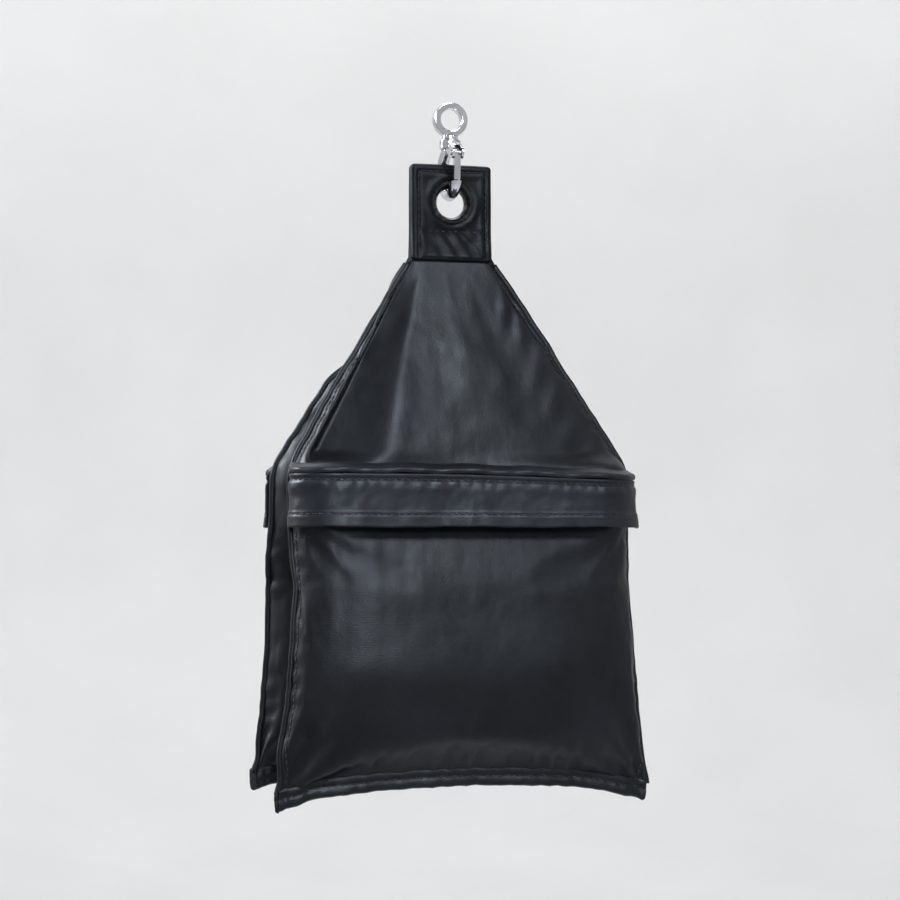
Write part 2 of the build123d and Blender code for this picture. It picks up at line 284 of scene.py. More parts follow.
def coated_fabric(name, dark=0.002, light=0.006, rough=(0.37, 0.52), grain=1.0, crease=1.0,
                  gloss=0.2):
    """Black coated cloth: fine pebbled grain over a faint weave, creases, scuffs and dust."""
    material, nodes, links, shader, where = new_material(name)
    cloud = add_noise(nodes, links, where, 22.0, 5.0)
    tone = add_ramp(nodes, links, cloud,
                    [(0.3, grey(dark, BLUE_BLACK)), (0.72, grey(light, BLUE_BLACK))])
    dust = add_noise(nodes, links, where, 95.0, 8.0)
    mix = nodes.new("ShaderNodeMixRGB")
    mix.blend_type = "ADD"
    mix.inputs["Fac"].default_value = 1.0
    links.new(tone, mix.inputs["Color1"])
    links.new(add_ramp(nodes, links, dust, [(0.6, grey(0.0)), (0.85, grey(0.004))]),
              mix.inputs["Color2"])
    links.new(mix.outputs["Color"], shader.inputs["Base Color"])
    worn = add_noise(nodes, links, where, 40.0, 6.0)
    links.new(add_ramp(nodes, links, worn, [(0.3, grey(rough[0])), (0.7, grey(rough[1]))]),
              shader.inputs["Roughness"])
    # creases, then pebbled grain, then the weave of the backing cloth
    folds = add_noise(nodes, links, where, 38.0, 3.0, (1.0, 1.0, 0.55))
    normal = add_bump(nodes, links, folds, 0.28 * crease, 0.004)
    pebble = nodes.new("ShaderNodeTexVoronoi")
    pebble.feature = "SMOOTH_F1"
    pebble.inputs["Scale"].default_value = 1150.0
    links.new(where, pebble.inputs["Vector"])
    normal = add_bump(nodes, links, pebble.outputs["Distance"], 0.22 * grain, 0.00022, normal)
    weave = nodes.new("ShaderNodeTexWave")
    weave.inputs["Scale"].default_value = 260.0
    weave.inputs["Distortion"].default_value = 1.5
    weave.bands_direction = "Z"
    links.new(where, weave.inputs["Vector"])
    normal = add_bump(nodes, links, weave.outputs["Fac"], 0.05 * grain, 0.0002, normal)
    links.new(normal, shader.inputs["Normal"])
    shader.inputs["Specular IOR Level"].default_value = gloss
    shader.inputs["Specular Tint"].default_value = (0.84, 0.92, 1.0, 1.0)
    return material


def woven(name, colour, pitch, strength=0.5, rough=0.8):
    """Plain weave: crossing ribs, with painted shade in the hollows between them and painted light on
    their crowns.
    """
    material, nodes, links, shader, where = new_material(name)
    height = None
    for direction in ("X", "Z"):
        wave = nodes.new("ShaderNodeTexWave")
        wave.bands_direction = direction
        wave.inputs["Scale"].default_value = 0.32 / pitch
        wave.inputs["Distortion"].default_value = 0.6
        links.new(where, wave.inputs["Vector"])
        if height is None:
            height = wave.outputs["Fac"]
        else:
            crossing = nodes.new("ShaderNodeMath")
            crossing.operation = "MULTIPLY"
            links.new(height, crossing.inputs[0])
            links.new(wave.outputs["Fac"], crossing.inputs[1])
            height = crossing.outputs["Value"]
    # the tone follows the ribs' height: painted shade in the hollows, painted light on the crowns
    low, high = [tuple(c * k for c in colour) + (1.0,) for k in (0.55, 1.35)]
    links.new(add_ramp(nodes, links, height, [(0.05, low), (0.8, high)]), shader.inputs["Base Color"])
    fuzz = add_noise(nodes, links, where, 600.0, 4.0)
    links.new(add_ramp(nodes, links, fuzz, [(0.3, grey(rough - 0.1)), (0.7, grey(rough + 0.1))]),
              shader.inputs["Roughness"])
    links.new(add_bump(nodes, links, height, strength, 0.3 * pitch), shader.inputs["Normal"])
    return material


def metal(name, colour, rough, metallic=1.0, scratch=0.06, wear=None):
    """Plated or painted metal: uneven polish, fine scratches and, where wear is given, rubbed tone."""
    material, nodes, links, shader, where = new_material(name)
    polish = add_noise(nodes, links, where, 180.0, 6.0)
    links.new(add_ramp(nodes, links, polish, [(0.3, grey(rough[0])), (0.75, grey(rough[1]))]),
              shader.inputs["Roughness"])
    rubbed = add_noise(nodes, links, where, 320.0, 7.0)
    base = tuple(colour) + (1.0,)
    other = tuple(wear or [c * 0.86 for c in colour]) + (1.0,)
    links.new(add_ramp(nodes, links, rubbed, [(0.55, base), (0.78, other)]),
              shader.inputs["Base Color"])
    lines = add_noise(nodes, links, where, 900.0, 3.0, (1.0, 1.0, 0.08))
    links.new(add_bump(nodes, links, lines, scratch, 0.0001), shader.inputs["Normal"])
    shader.inputs["Metallic"].default_value = metallic
    return material


def sand_material(name):
    material, nodes, links, shader, where = new_material(name)
    grains = nodes.new("ShaderNodeTexVoronoi")
    grains.inputs["Scale"].default_value = 1400.0
    links.new(where, grains.inputs["Vector"])
    stops = [(0.0, (0.30, 0.22, 0.13, 1)), (0.5, (0.62, 0.50, 0.34, 1)), (1.0, (0.85, 0.76, 0.60, 1))]
    links.new(add_ramp(nodes, links, grains.outputs["Color"], stops), shader.inputs["Base Color"])
    links.new(add_bump(nodes, links, grains.outputs["Distance"], 0.9, 0.0006), shader.inputs["Normal"])
    shader.inputs["Roughness"].default_value = 0.9
    return material


def film_material(name):
    material, nodes, links, shader, where = new_material(name)
    crinkle = add_noise(nodes, links, where, 120.0, 8.0)
    # the tone follows the crinkles' height: painted shade in their hollows, painted light on their
    # crests
    links.new(add_ramp(nodes, links, crinkle, [(0.3, grey(0.42)), (0.7, grey(0.62))]),
              shader.inputs["Base Color"])
    links.new(add_bump(nodes, links, crinkle, 0.8, 0.002), shader.inputs["Normal"])
    links.new(add_ramp(nodes, links, crinkle, [(0.3, grey(0.12)), (0.7, grey(0.3))]),
              shader.inputs["Roughness"])
    return material


FABRIC = coated_fabric("coated_fabric")
# painted light on the flap and its header: a lighter copy of the same coated fabric
FABRIC_FLAP_PAINTED_LIGHT = coated_fabric("coated_fabric_flap_painted_light", dark=0.004, light=0.011, crease=1.3)
# painted shade on the neck: a darker copy of the same coated fabric, with less sheen
FABRIC_NECK_PAINTED_SHADE = coated_fabric("coated_fabric_neck_painted_shade", dark=0.002, light=0.004, crease=1.0, gloss=0.11)
THREAD = woven("stitch_thread", (0.012, 0.013, 0.016), 0.5 * MM, 0.8, 0.6)
WEBBING = woven("webbing", (0.02, 0.02, 0.023), 1.6 * MM, 0.7)
TAPE = woven("zip_tape_cloth", (0.016, 0.016, 0.018), 0.7 * MM)
COIL = metal("zip_coil_nylon", (0.02, 0.02, 0.022), (0.3, 0.5), metallic=0.0)
CHROME = metal("chrome_plate", (0.62, 0.63, 0.65), (0.06, 0.2), scratch=0.1, wear=(0.5, 0.5, 0.51))
STEEL = metal("spring_steel", (0.42, 0.42, 0.43), (0.25, 0.4))
BLACK_METAL = metal("black_eyelet", (0.012, 0.012, 0.014), (0.2, 0.38), 0.7, wear=(0.06, 0.06, 0.062))
SAND = sand_material("sand_grains")
FILM = film_material("liner_film")


def finish_piece(obj, body, material, slot, *replaced):
    obj.data.materials.clear()
    obj.data.materials.append(material)
    if body:
        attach(obj, body)
    if replaced:
        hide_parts(*replaced)
    return obj


# -------------------- stitches

def thread_run(line, normal, pitch=3.4 * MM, length=2.5 * MM, radius=0.28 * MM):
    """Points and faces of one row of stitches along a line: short threads that dip at each end."""
    line, normal = np.asarray(line, float), np.asarray(normal, float)
    along = distances(line)
    points, faces = [], []
    sides, rings = 6, 6
    for start in np.arange(0.5 * pitch, along[-1] - length, pitch):
        at = start + np.linspace(0, length, rings)
        middle = np.stack([np.interp(at, along, line[:, k]) for k in range(3)], 1)
        up = unit(np.stack([np.interp(at, along, normal[:, k]) for k in range(3)], 1))
        side = np.cross(unit(np.gradient(middle, axis=0)), up)
        arch = np.sin(np.linspace(0, math.pi, rings))
        middle = middle + up * ((arch - 0.45) * radius * 1.6)[:, None]
        thick = radius * (0.55 + 0.45 * arch)
        faces += prism(rings, sides, len(points))
        for i in range(rings):
            for s in range(sides):
                a = 2 * math.pi * s / sides
                points.append(middle[i] + (up[i] * math.cos(a) + side[i] * math.sin(a)) * thick[i])
    return points, faces


# -------------------- one half's outline

# height, half width, depth of the side seam, front bulge and back bulge, and the share of the
# width that is flat before the sides round off; millimetres, before the bag swells
PATTERN = [
    (NECK_BASE / MM + 6, 18.6, 1.3, 0.8, 0.8, 0.75),
    (NECK_BASE / MM + 1, 19.2, 1.4, 1.0, 0.9, 0.75),
    (NECK_BASE / MM - 3, 23.0, 2.6, 1.9, 1.7, 0.75),
    (NECK_BASE / MM - 12, 29.6, 4.0, 3.4, 3.0, 0.72),
    (HEADER_TOP / MM, 88.4, 19.0, 19.0, 16.8, 0.80),
    (FLAP_BOTTOM / MM, 87.6, 19.2, 18.8, 17.0, 0.80),
    (-236.0, 88.4, 23.4, 21.6, 19.8, 0.42),
    (-282.0, 92.4, 26.6, 24.0, 21.0, 0.30),
    (-312.0, 95.6, 27.4, 17.0, 15.0, 0.25),
    (-326.0, 96.8, 27.6, 8.5, 8.0, 0.22),
    (SEAM_Z / MM + 1, 97.2, 27.7, 0.9, 0.9, 0.22),
]
TOP_Z = PATTERN[0][0] * MM
ARCH = 7.5 * MM                          # how far the bottom corners hang below the middle
STITCH_IN = 4.2 * MM                     # from a side seam to the stitches beside it
BAND_Z = (FLAP_TOP + FLAP_BOTTOM) / 2


def ring_grid():
    """Rows of points round one half, from inside the neck down to the bottom seam.
    Columns run from the left side seam across the front to the right one, and back again."""
    breaks = [TOP_Z, NECK_BASE, HEADER_TOP, ZIP_Z, FLAP_BOTTOM, SEAM_Z]
    heights = [TOP_Z]
    for high, low in zip(breaks, breaks[1:]):
        steps = max(2, round((high - low) / ROW_STEP))
        heights += list(np.linspace(high, low, steps + 1)[1:])
    heights = np.array(heights)
    table = np.array(PATTERN)[::-1]
    half, seam, front, back, flat = [np.interp(heights / MM, table[:, 0], table[:, k])
                                     for k in range(1, 6)]
    for value in (half, seam, front, back):        # soften the corners between listed heights
        for _ in range(4):
            value[1:-1] = (value[:-2] + 2 * value[1:-1] + value[2:]) / 4
    across = np.sin(np.linspace(-1, 1, COLUMNS + 1) * math.pi / 2)
    past = np.clip((np.abs(across)[None, :] - flat[:, None]) / (1 - flat[:, None]), 0, 1)
    crown = np.sqrt(np.maximum(1 - past**2, 0))
    x = half[:, None] * across[None, :]
    y_front = -(seam[:, None] + front[:, None] * crown)
    y_back = -(seam[:, None] - back[:, None] * crown)
    droop = smooth_step(-heights, 0.270, -SEAM_Z)[:, None] * ARCH * np.abs(across)[None, :] ** 2.2
    z = heights[:, None] - droop
    front_grid = np.stack([x * MM, y_front * MM, z], 2)
    back_grid = np.stack([x * MM, y_back * MM, z], 2)[:, ::-1][:, 1:-1]
    return heights, np.concatenate([front_grid, back_grid], 1)


SWELL_CAP = 3 * MM                       # the furthest that a point may move
SWELL_SHARE = 0.4                        # of each point's movement is kept
SWELL_FRAMES = 20
CLOTH_SETTINGS = {
    "quality": 7, "mass": 0.3, "tension_stiffness": 18, "compression_stiffness": 12,
    "shear_stiffness": 6, "bending_stiffness": 0.6, "use_pressure": True,
    "uniform_pressure_force": 4.0, "vertex_group_mass": "held",
}


def swell(heights, grid):
    """Cloth simulation: the sewn ring, held at the neck and along the closure, swells a little."""
    rows, cols = grid.shape[:2]
    index = np.arange(rows * cols).reshape(rows, cols)
    for c in range(COLUMNS + 1, cols):              # the bottom seam joins back to front
        index[-1, c] = index[-1, cols - c]
    faces = []
    for r in range(rows - 1):
        for c in range(cols):
            d = (c + 1) % cols
            face = [index[r, c], index[r + 1, c], index[r + 1, d], index[r, d]]
            faces.append(tuple(int(i) for i in dict.fromkeys(face)))
    bag = bpy.data.objects.new("swelling_bag", bpy.data.meshes.new("swelling_bag"))
    bag.data.from_pydata([tuple(p) for p in grid.reshape(-1, 3)], [], faces)
    bpy.context.scene.collection.objects.link(bag)
    held = bag.vertex_groups.new(name="held")
    neck_hold = 1 - smooth_step(-heights, 0.085, 0.125)
    face_hold = bump(heights, BAND_Z, 0.019) > 0.55
    for r in range(rows):
        for c in range(cols):
            weight = max(float(neck_hold[r]), 1.0 if c <= COLUMNS and face_hold[r] else 0.0)
            if weight > 0.01:
                held.add([int(index[r, c])], weight, "REPLACE")
    cloth = bag.modifiers.new("cloth", "CLOTH")
    for setting, value in CLOTH_SETTINGS.items():
        setattr(cloth.settings, setting, value)
    cloth.settings.effector_weights.gravity = 0
    cloth.point_cache.frame_end = SWELL_FRAMES
    for step in range(1, SWELL_FRAMES + 1):
        bpy.context.scene.frame_set(step)
    result = bag.evaluated_get(bpy.context.evaluated_depsgraph_get())
    points = np.array([v.co for v in result.data.vertices])
    bpy.data.objects.remove(bag)
    bpy.context.scene.frame_set(1)
    moved = (points[index] - grid) * SWELL_SHARE
    far = np.linalg.norm(moved, axis=2, keepdims=True)
    return grid + moved * np.minimum(1, SWELL_CAP / np.maximum(far, 1e-9))


def dressed(heights_in, grid_in, seed):
    """The bag at full detail: facets on its tent, puckers, folds, and the back pressed flat."""
    grid = resample(grid_in, REFINE, closed=True)
    heights = np.interp(np.arange(len(grid)) / REFINE, np.arange(len(heights_in)), heights_in)
    last = COLUMNS * REFINE
    cols = grid.shape[1]
    column = np.arange(cols)
    front = (column <= last)[None, :]
    t = np.where(column <= last, column / last, (cols - column) / last) * 2 - 1
    p = np.sin(t * math.pi / 2)[None, :]            # -1 at the left seam, 1 at the right one
    z = heights[:, None]
    tent = smooth_step(-z, -NECK_BASE, 0.015 - NECK_BASE)
    tent = tent * (1 - smooth_step(-z, -HEADER_TOP - 0.009, -HEADER_TOP))
    tent = tent * front
    pouch = smooth_step(-z, -FLAP_BOTTOM, 0.012 - FLAP_BOTTOM)
    bottom = smooth_step(-z, -SEAM_Z - 0.03, -SEAM_Z)
    band = bump(z, BAND_Z, 0.0185) ** 0.6 * front

    # tent: a flat facet on the left, broken along a ridge that runs down from the neck's corner
    down = np.clip((NECK_BASE - z) / (NECK_BASE - HEADER_TOP), 0, 1)
    ridge = -0.66 + 0.17 * down
    depth = -grid[..., 1]
    seam_depth = depth[:, :1]
    rise = depth[:, last // 2][:, None] - seam_depth
    left = np.clip((p + 1) / (ridge + 1), 0, 1)
    hollow = np.interp(left, (0, 0.03, 0.07, 0.11, 0.16, 0.9, 1),
                       (0, 0.4, 0.54, 0.42, 0.05, 0.93, 1))
    right = np.clip((p - ridge) / (1 - ridge), 0, 1)
    crease = np.exp(-np.maximum(p - ridge, 0) * 2.6) * 1.8 * MM * smooth_step(down, 0.1, 0.5)
    wanted = seam_depth + np.where(p < ridge, rise * hollow + crease * left**3,
                                   rise * (1 - 0.34 * right**1.6) * np.sqrt(1 - right**7) + crease)
    depth = depth * (1 - tent) + wanted * tent
    grid[..., 1] = -depth
    for _ in range(4):                              # soften the ridge itself
        grid = grid + (softened(grid) - grid) * (tent * (1 - bump(np.abs(p), 1.0, 0.05)))[..., None]
    if seed == 2:                                   # the rear half is drawn in above a shoulder
        drawn = smooth_step(-z, 0.078, 0.098) * (1 - smooth_step(-z, 0.121, 0.137))
        grid[..., 0] *= 1 - 0.12 * drawn * smooth_step(p, -0.2, 0.6)
        grid[..., 0] *= 1 + 0.03 * smooth_step(p, 0.3, 1.0) * bump(z, -0.234, 0.024)
        grid[..., 2] += 6.0 * MM * smooth_step(p, 0.3, 1.0) * smooth_step(-z, 0.285, -SEAM_Z)

    # distance over the cloth from each side seam
    step = np.linalg.norm(np.diff(grid[:, : last + 1], axis=1), axis=2)
    from_left = np.concatenate([np.zeros((len(grid), 1)), np.cumsum(step, 1)], 1)
    edge_front = np.minimum(from_left, from_left[:, -1:] - from_left)
    edge = np.concatenate([edge_front, edge_front[:, ::-1][:, 1:-1]], 1)
    n = normals_of(grid, closed=True)
    push = np.zeros(grid.shape[:2])

    # the cloth draws in at each stitch beside the side seams, with small puckers between
    below_neck = smooth_step(-z, 0.082, 0.1)
    push -= 0.55 * MM * bump(edge, STITCH_IN, 1.3 * MM) * below_neck * front
    ripple = np.sin(z / MM * 2 * math.pi / 13 + 3.1 * np.sin(z / MM / 11 + seed) + 1.5 * p)
    push += 0.28 * MM * ripple * bump(edge, 5 * MM, 5.5 * MM) * below_neck * (1 - 0.7 * band)
    # gathers that hang from the closure, strongest at the upper left
    hang = np.exp(-np.maximum(FLAP_BOTTOM - z, 0) / 0.030)
    gather = np.sin(p * 30 + 1.6 * np.sin(p * 8 + seed)) + 0.5 * np.sin(p * 53 + seed)
    push += 0.3 * MM * gather * hang * pouch * (0.12 + 1.4 * bump(p, -0.66, 0.27)) * front
    # folds that fan out from the bottom corners, and short ones along the bottom seam
    for corner in (-1, 1):
        away_x, away_z = (p - corner) * 0.096 * -corner, z - SEAM_Z + 0.004
        reach = np.sqrt(away_x**2 + away_z**2)
        angle = np.arctan2(away_z, np.maximum(away_x, 0) + 1e-6)
        fan = np.cos(angle * 12 + 1.7 * seed + corner)
        push += 1.1 * MM * fan * bump(reach, 0.024, 0.017) * smooth_step(reach, 0.003, 0.014)
    short = np.sin(p * 47 + 2.2 * np.sin(p * 11 + seed)) + 0.6 * np.sin(p * 71 + seed)
    push += 0.55 * MM * short * bump(z, SEAM_Z + 0.008, 0.008)
    # wrinkles: slanting ones beside the tent's right seam, and two long soft ones down its middle
    slant = np.sin((z / MM * 0.9 - p * 46) * 2 * math.pi / 15 + seed)
    push += 0.42 * MM * slant * tent * bump(p, 0.78, 0.17) * below_neck
    for start, lean, size in ((-0.15, 0.35, 0.5), (0.3, 0.28, -0.45)):
        path = start + lean * down
        push += size * MM * bump(p, path, 0.07 + 0.1 * down) * tent * bump(down, 0.55, 0.35)
    calm = (1 - band) * (1 - 0.85 * bottom) * smooth_step(-z, 0.08, 0.12) * (1 - 0.5 * pouch * front)
    push += (1.0 * MM * field(grid, 0.055, seed) + 0.5 * MM * field(grid, 0.019, seed + 5)) * calm
    grid = grid + n * push[..., None]

    # the halves press on each other, so the back is flat where it would pass the middle plane
    y, gap, soft = grid[..., 1], -0.5 * MM, 1.0 * MM
    pressed = gap - soft * np.log1p(np.exp(np.clip(-(y - gap) / soft, -40, 40)))
    grid[..., 1] = np.where(front, y, pressed)
    return heights, grid, last, edge


def along_seam(grid, last, edge, distance, rows, right):
    """Points and outward normals at this distance over the front cloth from a side seam."""
    n = normals_of(grid, closed=True)
    half_way = last // 2
    points, normals = [], []
    for r in rows:
        span = range(last, half_way - 1, -1) if right else range(0, half_way + 1)
        at = [edge[r, c] for c in span]
        points.append([np.interp(distance, at, [grid[r, c, k] for c in span]) for k in range(3)])
        normals.append([np.interp(distance, at, [n[r, c, k] for c in span]) for k in range(3)])
    return np.array(points), np.array(normals)


def tube(path, out, radius_out, radius_side, sides=8):
    """Points and faces of an oval cord along a path; out is the direction of its first radius."""
    path, out = np.asarray(path, float), np.asarray(out, float)
    forward = unit(np.gradient(path, axis=0))
    out = unit(out - forward * np.sum(out * forward, 1, keepdims=True))
    side = np.cross(forward, out)
    points = []
    for i in range(len(path)):
        for s in range(sides):
            a = 2 * math.pi * s / sides
            points.append(path[i] + out[i] * radius_out * math.cos(a)
                          + side[i] * radius_side * math.sin(a))
    return points, prism(len(path), sides)


def joined(parts):
    points, faces = [], []
    for more, shapes in parts:
        faces += [tuple(i + len(points) for i in f) for f in shapes]
        points += list(more)
    return np.array(points), faces


def stitched(name, runs, sign, body, **sizes):
    points, faces = joined([thread_run(line, normal, **sizes) for line, normal in runs])
    obj = make_object(name, turned(points, sign), faces)
    return finish_piece(obj, body, THREAD, "coated_fabric")


def flat_line(points):
    """A line of points with normals that face the front."""
    points = np.asarray(points, float)
    return points, np.tile([0.0, -1.0, 0.0], (len(points), 1))


# -------------------- the fabric of one half

SLOT_HALF = 1.9 * MM
BLEND_TOP, BLEND_BOTTOM = NECK_BASE + 2 * MM, NECK_BASE - 16 * MM


def over_hinge(obj):
    """A piece that runs from the neck into one half: its place is baked into its points, and it rides
    on no body.
    """
    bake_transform(obj)


def build_shell(side, sign, heights, grid, last, edge):
    """Top, pouch and back panels, the welts over the side seams and the stitches beside them."""
    half = f"{side}_half"
    zip_row = int(np.argmin(np.abs(heights - ZIP_Z)))
    x = grid[zip_row, : last + 1, 0]
    part = 1 - smooth_step(np.abs(x), ZIP_HALF - 3 * MM, ZIP_HALF + 1 * MM)
    top = grid[: zip_row + 1, : last + 1].copy()
    pouch = grid[zip_row:, : last + 1].copy()
    fade = np.linspace(0, 1, 5)[:, None]
    top[-5:, :, 2] += SLOT_HALF * fade * part[None, :]
    pouch[:5, :, 2] -= SLOT_HALF * fade[::-1] * part[None, :]
    back = np.concatenate([grid[:, last:], grid[:, :1]], 1)
    pieces = {}
    for key, cloth_grid in (("top_panel", top), ("pouch_panel", pouch), ("back_panel", back)):
        obj = shell(f"{side}_{key}_cloth", turned(cloth_grid, sign), CLOTH)
        pieces[key] = finish_piece(obj, None, FABRIC, "coated_fabric", f"{side}_{key}")
    over_hinge(pieces["top_panel"])
    over_hinge(pieces["back_panel"])
    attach(pieces["pouch_panel"], half)

    rows = [r for r in range(len(heights)) if heights[r] < NECK_BASE - 1.5 * MM]
    welts, runs = [], []
    for right in (False, True):
        column, way = (last, 1.0) if right else (0, -1.0)
        path = grid[rows, column] + np.array([way * 0.5 * MM, 0, 0])
        out = np.tile([way, 0.0, 0.0], (len(rows), 1))
        welts.append(tube(path, out, 1.7 * MM, 1.5 * MM))
        for clear in ([r for r in rows if heights[r] < BLEND_BOTTOM + 8 * MM
                       and heights[r] > HEADER_TOP + 3 * MM],
                      [r for r in rows if heights[r] < FLAP_BOTTOM and heights[r] > SEAM_Z + 3 * MM]):
            line, normal = along_seam(grid, last, edge, STITCH_IN, clear, right)
            runs.append((line + normal * 0.15 * MM, normal))
    points, faces = joined(welts)
    welt = finish_piece(make_object(f"{side}_seam_welts", turned(points, sign), faces),
                        None, FABRIC, "coated_fabric")
    over_hinge(welt)
    seams = stitched(f"{side}_seam_stitches", runs, sign, None)
    over_hinge(seams)

    # two rows beside the zip's slot, hidden under the flap until it lifts
    span = np.linspace(-ZIP_HALF, ZIP_HALF, 90)
    zip_runs = []
    for offset in (-4.6 * MM, 4.6 * MM):
        row = int(np.argmin(np.abs(heights - (ZIP_Z + offset))))
        face = grid[row, : last + 1]
        y = np.interp(span, face[:, 0], face[:, 1])
        zip_runs.append(flat_line(np.stack([span, y - 0.15 * MM, np.full(90, ZIP_Z + offset)], 1)))
    stitched(f"{side}_zip_stitches", zip_runs, sign, half)


def build_hem(side, sign, grid, last, seed):
    """The flat hem sewn under the bottom seam: it arches up in the middle, and its corners droop."""
    seam = grid[-1, : last + 1]
    p = seam[:, 0] / np.abs(seam[:, 0]).max()
    drop = np.concatenate([[-1.6], np.linspace(0, 6.6, 11)]) * MM
    rows = []
    for d in drop:
        share = max(d, 0) / drop[-1]
        wave = 0.45 * MM * np.sin(p * 13 + seed) * share + 0.12 * MM * np.sin(p * 41) * share
        groove = 0.4 * MM * bump(d, 2.2 * MM, 0.8 * MM) - 0.3 * MM * bump(d, 5.0 * MM, 2 * MM)
        pucker = 0.22 * MM * np.sin(p * 97 + seed) * bump(d, 3 * MM, 2 * MM)
        x = seam[:, 0] * (1 + 0.004 * share - 0.012 * (share**2) * np.abs(p) ** 8)
        low = seam[:, 2] - d - 1.2 * MM * share * np.abs(p) ** 6
        rows.append(np.stack([x, seam[:, 1] - 1.2 * MM + groove + pucker + wave, low], 1))
    hem_grid = np.array(rows)
    obj = shell(f"{side}_hem_binding", turned(hem_grid, sign), 2.4 * MM)
    hem = finish_piece(obj, f"{side}_half", FABRIC, "coated_fabric", f"{side}_bottom_hem")
    n = normals_of(hem_grid)
    line = np.array([[np.interp(2.2 * MM, drop, hem_grid[:, c, k]) for k in range(3)]
                     for c in range(2, last - 1)])
    normal = n[4, 2: last - 1]
    stitches = stitched(f"{side}_hem_stitches", [(line + normal * 0.12 * MM, normal)], sign,
                        f"{side}_half")


# -------------------- flap and its header

FLAP_HALF = flap_high.x
FLAP_OUT = -flap_low.y + 0.2 * MM
HEADER_LOW = header_low.z
# the flap's ends wrap the bag's corners to its side seams
WRAP_FROM, WRAP_DEPTH = 66 * MM, 20.6 * MM
BODY_HALF, SEAM_DEPTH = 88.4 * MM, 19 * MM       # the bag's half width and side seam behind them
FACE_IN = FACE_DEPTH - 1.2 * MM                  # just inside its face


def band_path(count):
    """The flap's outer line in plan, from end to end: points and outward directions as
    (x, depth), and the points on the bag's own face that lie behind them."""
    turn = np.radians(np.linspace(0, 87, 80))
    reach = FLAP_HALF - WRAP_FROM
    x = np.concatenate([np.linspace(0, WRAP_FROM, 80), WRAP_FROM + reach * np.sin(turn[1:])])
    d = np.concatenate([np.full(80, FLAP_OUT), FLAP_OUT - WRAP_DEPTH * (1 - np.cos(turn[1:]))])
    nx = np.concatenate([np.zeros(80), np.sin(turn[1:])])
    nd = np.concatenate([np.ones(80), np.cos(turn[1:])])
    body_x = np.concatenate([x[:80],
                             WRAP_FROM + (BODY_HALF - 1.2 * MM - WRAP_FROM) * np.sin(turn[1:])])
    body_d = np.concatenate([np.full(80, FACE_IN),
                             SEAM_DEPTH + (FACE_IN - SEAM_DEPTH) * np.cos(turn[1:])])
    length = np.concatenate([[0], np.cumsum(np.hypot(np.diff(x), np.diff(d)))])
    at = np.linspace(-length[-1], length[-1], count)
    way = np.sign(at)
    out = [np.interp(np.abs(at), length, v) for v in (x, d, nx, nd, body_x, body_d)]
    for k in (0, 2, 4):
        out[k] = out[k] * way
    return at / length[-1], np.stack(out[:2], 1), np.stack(out[2:4], 1), np.stack(out[4:], 1)


def sag(share, side):
    """The front header runs down a little towards its right end."""
    return -2.6 * MM * smooth_step(share, -0.3, 1.0) if side == "front" else 0 * share


def build_header(side, sign, seed):
    """The sewn ridge that the flap hangs from, from the bag's face out to the flap."""
    share, line, out, body = band_path(161)
    loop = []
    for t, far, near in zip(share, line, body):
        lift = 0.3 * MM * math.sin(t * 19 + 2 * seed) + float(sag(t, side))
        swell_out = 1 + 0.03 * math.sin(t * 47 + seed)
        corners = [(0, HEADER_TOP + 2.2 * MM), (0.66, HEADER_TOP + 0.6 * MM),
                   (0.92 * swell_out, HEADER_TOP - 0.1 * MM),
                   (1.05 * swell_out, HEADER_TOP - 1.4 * MM), (1.0, HEADER_LOW + 0.3 * MM),
                   (0.8, HEADER_LOW + 0.1 * MM), (0, HEADER_LOW + 0.1 * MM)]
        loop.append([(*(near * (1 - u) + far * u) * np.array([1, -1]), h + lift) for u, h in corners])
    loop = resample(np.array(loop), 3, closed=True)
    rows, cols = loop.shape[:2]
    faces = quads(rows, cols, closed=True)
    faces.append(tuple(range(cols)))
    faces.append(tuple((rows - 1) * cols + c for c in reversed(range(cols))))
    obj = make_object(f"{side}_flap_binding", turned(loop, sign), faces)
    finish_piece(obj, f"{side}_half", FABRIC_FLAP_PAINTED_LIGHT, "coated_fabric", f"{side}_flap_header")


FLARE = 3.2 * MM                                 # of the flap's free edge, off the pouch
TOP_STITCHES = FLAP_TOP - 2.6 * MM
HEM_STITCHES = FLAP_BOTTOM + 6.0 * MM


